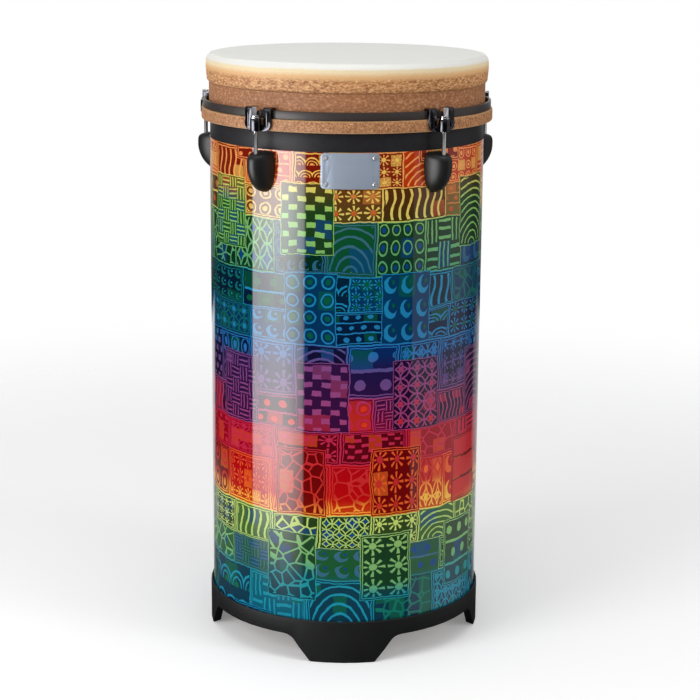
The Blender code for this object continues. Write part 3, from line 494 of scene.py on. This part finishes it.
# The badge is a thin plate, brushed from side to side and bent to the shell, held by four round-headed
# rivets. It is left bare.
badge_finish = Finish("badge_brushed", Metallic=0.35)
streaks = badge_finish.noise(90.0, 4.0, (0.35, 1.0, 30.0))
badge_finish.mottle(streaks, (157, 170, 190), (178, 189, 205))
badge_finish.feed("Roughness", streaks * 0.2 + 0.26)
badge_finish.bump(streaks, 0.0002, 0.1)
add_piece("badge_plate", softened("badge", 0.0003, limit=50), badge_finish, "drum_body", "badge")
rivet_finish = Finish("rivet_bright", Metallic=0.6)
rivet_tone = rivet_finish.noise(900.0, 2.0)
rivet_finish.mottle(rivet_tone, (176, 178, 184), (206, 207, 210))
rivet_finish.feed("Roughness", rivet_tone * 0.12 + 0.3)
for number in range(1, 5):
    mesh = softened(f"badge_rivet_{number}", 0.0002, limit=60)
    add_piece(f"rivet_{number}", mesh, rivet_finish, "drum_body", f"badge_rivet_{number}")

# The head is a white coated film on a tan fibre collar. The white fades through cream into mottled tan
# on the rounded rim, and a groove runs round where the collar's thick upper part ends, darkened by
# painted shade.
BULGE_HEIGHT = 0.0295
BULGE_STEP = 0.0033
COLLAR_WALL = 0.0012
RIM_ROUND = 0.0088
RIM_DROP = 0.0088
RIM_STEPS = 10
WHITE_DROP = 0.0064
CREAM_DROP = 0.0118
GOLD_DROP = 0.0172
head_finish = Finish("head_skin")
x, y, z = head_finish.axes()
film_low, film_high = extent("head_film")[1:]
collar_radius, collar_low, collar_high = extent("head_collar")
groove = collar_high - BULGE_HEIGHT
bark_tone = head_finish.noise(300.0, 5.0, (0.7, 0.7, 1.5)) * 0.55 + head_finish.noise(
    560.0, 3.0, (0.7, 0.7, 1.5)) * 0.45
bark = head_finish.ramp(
    bark_tone, (0.34, 118, 70, 36), (0.44, 172, 114, 66), (0.53, 210, 152, 98), (0.66, 238, 194, 142))
flakes = head_finish.noise(360.0, 4.0, (0.8, 0.8, 1.3))
neck_tan = head_finish.ramp(
    flakes, (0.40, 146, 94, 58), (0.55, 168, 114, 76), (0.64, 186, 134, 92), (0.74, 206, 156, 110))
bark = head_finish.mix(((groove - z) * 900.0).clip(), bark, neck_tan)
# Painted shade: a dark brown line fills the groove under the overhanging bulge.
groove_shade = 1.0 - (abs(z - (groove - 0.0006)) * 1100.0).low(1.0)
bark = head_finish.mix(groove_shade * 0.6, bark, paint(96, 56, 34))
drop = film_high - z + (head_finish.noise(9.0, 2.0) - 0.5) * 0.004
drop = drop + (bark_tone - 0.5) * 0.004
gold = head_finish.mix(((GOLD_DROP + 0.0015 - drop) / 0.0040).clip(), bark, paint(228, 180, 124))
cream = head_finish.mix(((CREAM_DROP + 0.0020 - drop) / 0.0045).clip(), gold, paint(240, 220, 178))
white = head_finish.mix(head_finish.noise(14.0, 2.0), paint(236, 236, 231), paint(243, 242, 236))
on_top = z > film_high - WHITE_DROP
head_finish.feed("Base Color", head_finish.mix(((WHITE_DROP - drop) / 0.0026 + 0.5).clip(), cream, white))
head_finish.feed("Roughness", 0.7 - on_top * 0.25)
head_finish.bump(bark_tone * (1.0 - on_top) + head_finish.noise(1400.0, 2.0) * 0.25, 0.0006)
neck = collar_radius - BULGE_STEP
profile = [(0.0, film_high), (collar_radius - RIM_ROUND - 0.004, film_high)]
for step in range(RIM_STEPS + 1):
    angle = math.pi / 2 * (1 - step / RIM_STEPS)
    profile.append((
        collar_radius - RIM_ROUND * (1 - math.cos(angle)), film_high - RIM_DROP * (1 - math.sin(angle))))
profile += [
    (collar_radius, collar_high - BULGE_HEIGHT * 0.45),
    (collar_radius - BULGE_STEP * 0.12, collar_high - BULGE_HEIGHT * 0.65),
    (collar_radius - BULGE_STEP * 0.35, collar_high - BULGE_HEIGHT * 0.93),
    (collar_radius - BULGE_STEP * 0.70, groove + 0.0005),
    (neck, groove), (neck - 0.0004, groove - 0.0006), (neck, groove - 0.0013), (neck, collar_low),
    (neck - COLLAR_WALL, collar_low), (neck - COLLAR_WALL, film_low), (0.0, film_low)]
add_piece(
    "drum_head", spun("drum_head", profile, closed=False), head_finish, "head_assembly", "head_film",
    "head_collar")

# The flesh hoop grips the head's foot: a ring covered in the same tan fibre, with a painted highlight
# along its top and bottom edges.
FLESH_HOOP_WALL = 0.0081
hoop_finish = Finish("hoop_fibre", Roughness=0.68)
hoop_tone = hoop_finish.noise(380.0, 5.0) * 0.6 + hoop_finish.noise(760.0, 3.0) * 0.4
hoop_tan = hoop_finish.ramp(
    hoop_tone, (0.32, 116, 72, 44), (0.44, 154, 102, 62), (0.55, 182, 128, 84), (0.68, 208, 158, 112))
hoop_radius, hoop_low, hoop_high = extent("flesh_hoop")
z = hoop_finish.axes()[2]
# Painted highlight: the tan is lightened within about 1.6 mm of the top and bottom edges.
edge_highlight = (1.0 - (z - hoop_low).low(hoop_high - z) * 620.0).clip()
hoop_finish.feed("Base Color", hoop_finish.mix(edge_highlight * 0.6, hoop_tan, paint(206, 166, 118)))
hoop_finish.bump(hoop_tone, 0.0005)
add_piece("flesh_ring", spun("flesh_ring", eased(
    hoop_radius - FLESH_HOOP_WALL, hoop_radius, hoop_low, hoop_high, 0.0014)), hoop_finish, "head_assembly",
    "flesh_hoop")

# The counter hoop presses the flesh hoop down: flat steel rolled into a ring, with a satin black coat.
COUNTER_HOOP_WALL = 0.0030
steel_finish = Finish("hoop_black", Specular_IOR_Level=0.36)
steel_tone = steel_finish.noise(240.0, 2.0)
steel_finish.mottle(steel_tone, (52, 47, 45), (62, 56, 54))
steel_finish.feed("Roughness", steel_tone * 0.16 + 0.3)
steel_finish.bump(steel_tone, 0.0002, 0.08)
ring_radius, ring_low, ring_high = extent("counter_hoop")
add_piece("steel_ring", spun("steel_ring", eased(
    ring_radius - COUNTER_HOOP_WALL, ring_radius, ring_low, ring_high, 0.0006)), steel_finish,
    "head_assembly", "counter_hoop")

# The claws are castings in dark nickel plate: two ribbed ears hook over the counter hoop and carry a
# boss for the tension rod.
nickel_finish = Finish("claw_nickel", Metallic=1.0)
nickel_tone = nickel_finish.noise(300.0, 3.0)
nickel_finish.mottle(nickel_tone, (62, 62, 67), (92, 91, 97))
nickel_finish.feed("Roughness", nickel_tone * 0.12 + 0.14)
for number in STATIONS:
    mesh = softened(f"claw_{number}", 0.0003, weld=0.0003, room=0.0006)
    add_piece(f"hoop_claw_{number}", mesh, nickel_finish, "head_assembly", f"claw_{number}")

# The tension rods are bright chrome, with a flange and a square head for the drum key. A washer lies
# under each flange.
chrome_finish = Finish("rod_chrome", Metallic=1.0)
chrome_tone = chrome_finish.noise(500.0, 2.0)
chrome_finish.mottle(chrome_tone, (206, 206, 210), (230, 230, 232))
chrome_finish.feed("Roughness", chrome_tone * 0.08 + 0.06)
for number in STATIONS:
    rod, washer = f"tension_rod_{number}", f"rod_washer_{number}"
    mesh = softened(rod, 0.0003, limit=50)
    add_piece(f"key_rod_{number}", mesh, chrome_finish, f"rod_{number}", rod)
    mesh = softened(washer, 0.0002, limit=50)
    add_piece(f"plain_washer_{number}", mesh, chrome_finish, "head_assembly", washer)

# The studio: a pale floor that fades into the white room. Gloss and metal show that room behind the
# drum and a dimmer one on the camera's side.
bpy.context.scene.view_settings.view_transform = "Standard"
floor_finish = Finish("studio_floor", Roughness=0.9)
floor_finish.shader.inputs["Base Color"].default_value = paint(250, 250, 251)
floor_finish.shader.inputs["Emission Strength"].default_value = 1.0
x, y, z = floor_finish.axes()
away = x.far(y)
is_camera = floor_finish.node("ShaderNodeLightPath", {}, [], "Is Camera Ray")
is_gloss = floor_finish.node("ShaderNodeLightPath", {}, [], "Is Glossy Ray")
seen = ((1.7 - away) / 1.3).clip()
seen = seen * seen * (3.0 - seen * 2.0)
near = ((0.82 - away) * 2.4).clip() * ((away - 0.2) * 3.3).clip() * ((y * 1.5 + 0.2).clip() + 0.05)
behind = ((y * 0.72 + 0.16 - abs(x - y * 0.16)) * 8.0).clip() * ((1.72 - y) * 5.0).clip()
behind = behind * ((1.25 - x) * 0.85).clip()
floor_finish.feed("Alpha", choose(is_gloss, seen, near.high(behind)))
floor_finish.feed("Emission Color", is_camera * 0.2 + is_gloss * (away * 0.6 - 0.4).clip())
bm = bmesh.new()
bmesh.ops.create_grid(bm, x_segments=1, y_segments=1, size=3.0)
floor = bpy.data.objects.new("studio_floor", to_mesh(bm, "studio_floor"))
floor.data.materials.append(floor_finish.material)
bpy.context.scene.collection.objects.link(floor)

room = bpy.data.worlds.new("studio")
bpy.context.scene.world = room
room.use_nodes = True
nodes, links = room.node_tree.nodes, room.node_tree.links
rays = nodes.new("ShaderNodeLightPath")
way = nodes.new("ShaderNodeTexCoord")
split = nodes.new("ShaderNodeSeparateXYZ")
links.new(way.outputs["Generated"], split.inputs[0])


def gradient(value, low, high, dark, bright):
    """Strength of the room between two heights or depths of view."""
    step = nodes.new("ShaderNodeMapRange")
    for socket, number in zip(("From Min", "From Max", "To Min", "To Max"), (low, high, dark, bright)):
        step.inputs[socket].default_value = number
    links.new(value, step.inputs["Value"])
    return step.outputs[0]


def blend(factor, low, high):
    """Between two strengths of the room, by kind of ray."""
    mixed = nodes.new("ShaderNodeMix")
    links.new(rays.outputs[factor], mixed.inputs[0])
    for socket, value in ((2, low), (3, high)):
        if isinstance(value, float):
            mixed.inputs[socket].default_value = value
        else:
            links.new(value, mixed.inputs[socket])
    return mixed.outputs[0]


def joined(operation, first, second):
    both = nodes.new("ShaderNodeMath")
    both.operation = operation
    links.new(first, both.inputs[0])
    links.new(second, both.inputs[1])
    return both.outputs[0]


backdrop = gradient(split.outputs[1], 0.80, 0.95, 0.0, 1.0)
backdrop = joined("MULTIPLY", backdrop, gradient(split.outputs[2], -0.20, -0.05, 0.0, 1.0))
ceiling = gradient(split.outputs[2], 0.05, 0.60, 0.02, 0.45)
glossy = blend("Is Glossy Ray", 0.39, joined("MAXIMUM", backdrop, ceiling))
strength = blend("Is Camera Ray", blend("Is Transmission Ray", glossy, 1.0), 1.0)
nodes["Background"].inputs["Color"].default_value = (1.0, 1.0, 1.0, 1.0)
links.new(strength, nodes["Background"].inputs["Strength"])


# Three softboxes light it, and two tall ones close by only streak the gloss. The left one is brightest
# at its inner side and dies away towards the floor.
def softbox(name, azimuth, distance, height, size, power, aim=0.33):
    light = bpy.data.lights.new(name, "AREA")
    light.shape = "RECTANGLE"
    light.size, light.size_y = size
    light.energy = power
    lamp = bpy.data.objects.new(name, light)
    angle = math.radians(azimuth)
    lamp.location = AXIS + Vector((distance * math.sin(angle), -distance * math.cos(angle), height))
    lamp.rotation_euler = (AXIS + Vector((0, 0, aim)) - lamp.location).to_track_quat("-Z", "Y").to_euler()
    lamp.visible_camera = False
    bpy.context.scene.collection.objects.link(lamp)
    return lamp


def shaded(lamp, *ramps):
    """Makes a softbox uneven, by ramps of (side, start, end, strength there) across its face."""
    lamp.data.use_nodes = True
    tree = lamp.data.node_tree
    face = tree.nodes.new("ShaderNodeNewGeometry")
    sides = tree.nodes.new("ShaderNodeSeparateXYZ")
    tree.links.new(face.outputs["Parametric"], sides.inputs[0])
    level = None
    for side, start, end, first, last in ramps:
        ramp = tree.nodes.new("ShaderNodeMapRange")
        ramp.interpolation_type = "SMOOTHSTEP"
        for socket, value in zip(("From Min", "From Max", "To Min", "To Max"), (start, end, first, last)):
            ramp.inputs[socket].default_value = value
        tree.links.new(sides.outputs[side], ramp.inputs["Value"])
        product = tree.nodes.new("ShaderNodeMath")
        product.operation = "MULTIPLY"
        product.inputs[1].default_value = 1.0
        tree.links.new(ramp.outputs[0], product.inputs[0])
        if level:
            tree.links.new(level, product.inputs[1])
        level = product.outputs[0]
    tree.links.new(level, tree.nodes["Emission"].inputs["Strength"])


softbox("left_softbox", -50, 1.9, 1.0, (1.0, 1.4), 20).visible_glossy = False
softbox("right_softbox", 60, 2.1, 1.0, (0.6, 1.4), 11.5).visible_glossy = False
softbox("top_panel", 10, 0.4, 2.4, (1.6, 1.6), 12.5)
left_streak = softbox("left_streak", -56.3, 0.8, 0.23, (0.72, 0.90), 12.2, 0.23)
left_streak.rotation_euler.rotate_axis("Z", math.radians(-3))
left_streak.visible_diffuse = False
shaded(left_streak, (0, 0.0, 0.05, 0.0, 1.0), (0, 0.0, 0.55, 0.76, 1.05), (0, 0.60, 1.12, 1.0, 0.25),
       (0, 0.95, 1.0, 1.0, 0.0), (1, 0.01, 0.33, 0.0, 1.0), (1, 0.52, 0.72, 1.0, 1.40))
right_streak = softbox("right_streak", 100, 1.2, 0.25, (2.5, 1.7), 5.0, 0.25)
right_streak.visible_diffuse = False
shaded(right_streak, (0, 0.44, 0.78, 1.0, 0.05))

# The camera stands where the photograph was taken from: a long lens a little above the head.
LENS = 97.7
CAMERA_FROM_AXIS = Vector((-0.0520, -2.1162, 0.818))
CAMERA_PITCH = math.radians(13.27)
CAMERA_YAW = math.radians(1.55)
CAMERA_ROLL = math.radians(0.41)
aim = Matrix.Rotation(-CAMERA_YAW, 4, "Z") @ Matrix.Rotation(math.pi / 2 - CAMERA_PITCH, 4, "X")
camera = bpy.data.objects.new("camera", bpy.data.cameras.new("camera"))
camera.data.lens = LENS
camera.data.clip_start = 0.05
camera.matrix_world = (
    Matrix.Translation(AXIS + CAMERA_FROM_AXIS) @ aim @ Matrix.Rotation(CAMERA_ROLL, 4, "Z"))
bpy.context.scene.collection.objects.link(camera)
bpy.context.scene.camera = camera
